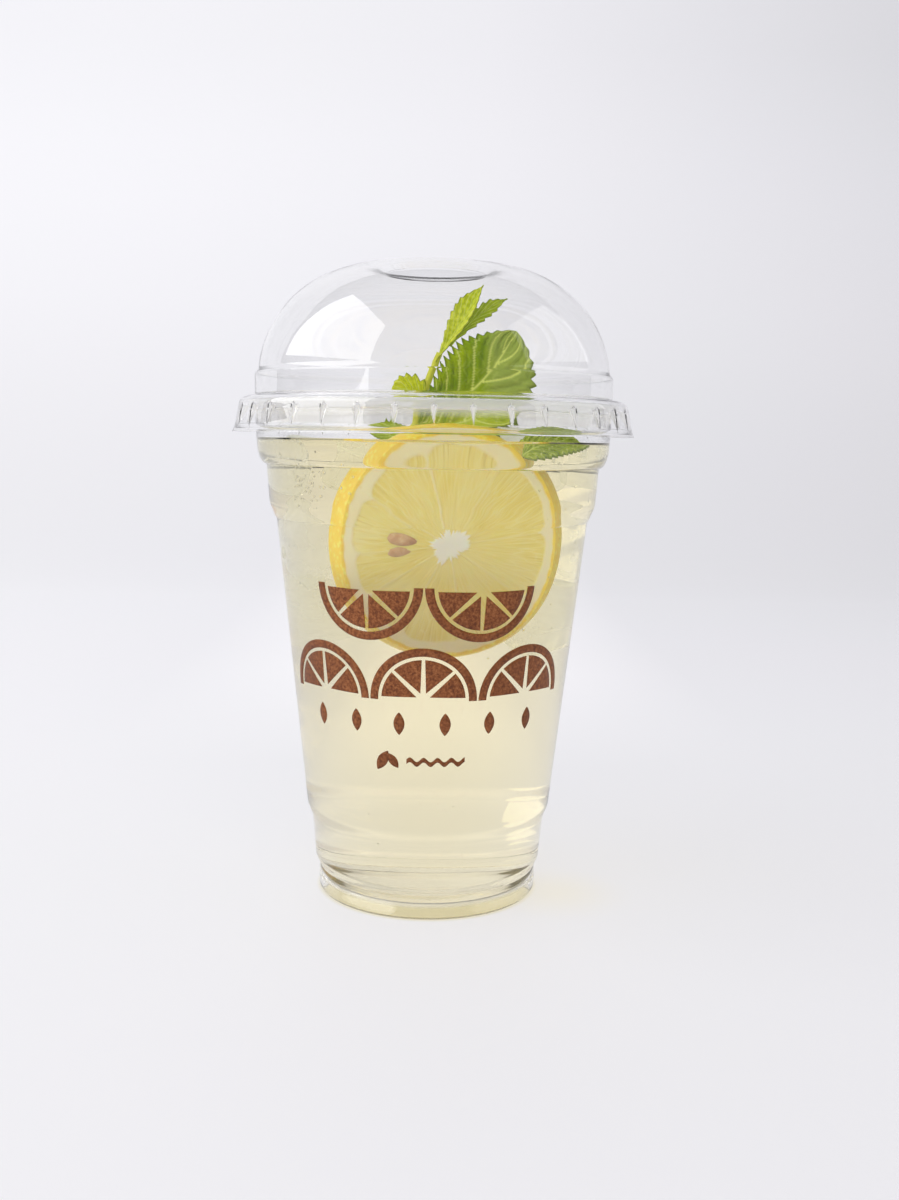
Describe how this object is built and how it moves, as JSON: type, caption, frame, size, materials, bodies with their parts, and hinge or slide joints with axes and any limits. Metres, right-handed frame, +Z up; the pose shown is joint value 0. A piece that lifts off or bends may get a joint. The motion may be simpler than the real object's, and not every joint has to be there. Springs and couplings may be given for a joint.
{
  "type": "glass of lemonade",
  "caption": "Pale lemonade in a clear domed-lid cup, with an upright lemon slice, a mint sprig and ice at the surface.",
  "frame": {"origin": "on the surface the cup stands on, under the middle of the lid", "axes": "+Z up, along the cup's height; -Y is the front, where the lemon slice shows"},
  "size_m": [0.102, 0.102, 0.1611],
  "materials": {
    "clear_plastic": "clear, thin and glossy",
    "lemonade": "clear pale yellow drink",
    "lemon": "waxy rind and moist pulp",
    "mint": "soft leaf with pale veins",
    "ice": "clear wet ice, slightly cloudy",
    "print": "brown screen print, slightly grainy"
  },
  "bodies": {
    "root": {"cup": "clear_plastic", "lid": "clear_plastic", "lemonade": "lemonade", "lemon_slice": "lemon", "mint_sprig": "mint", "mint_leaf": "mint", "ice_cube_right": "ice", "ice_cube_far_right": "ice", "ice_cube_left": "ice", "ice_cube_back": "ice"}
  },
  "joints": []
}
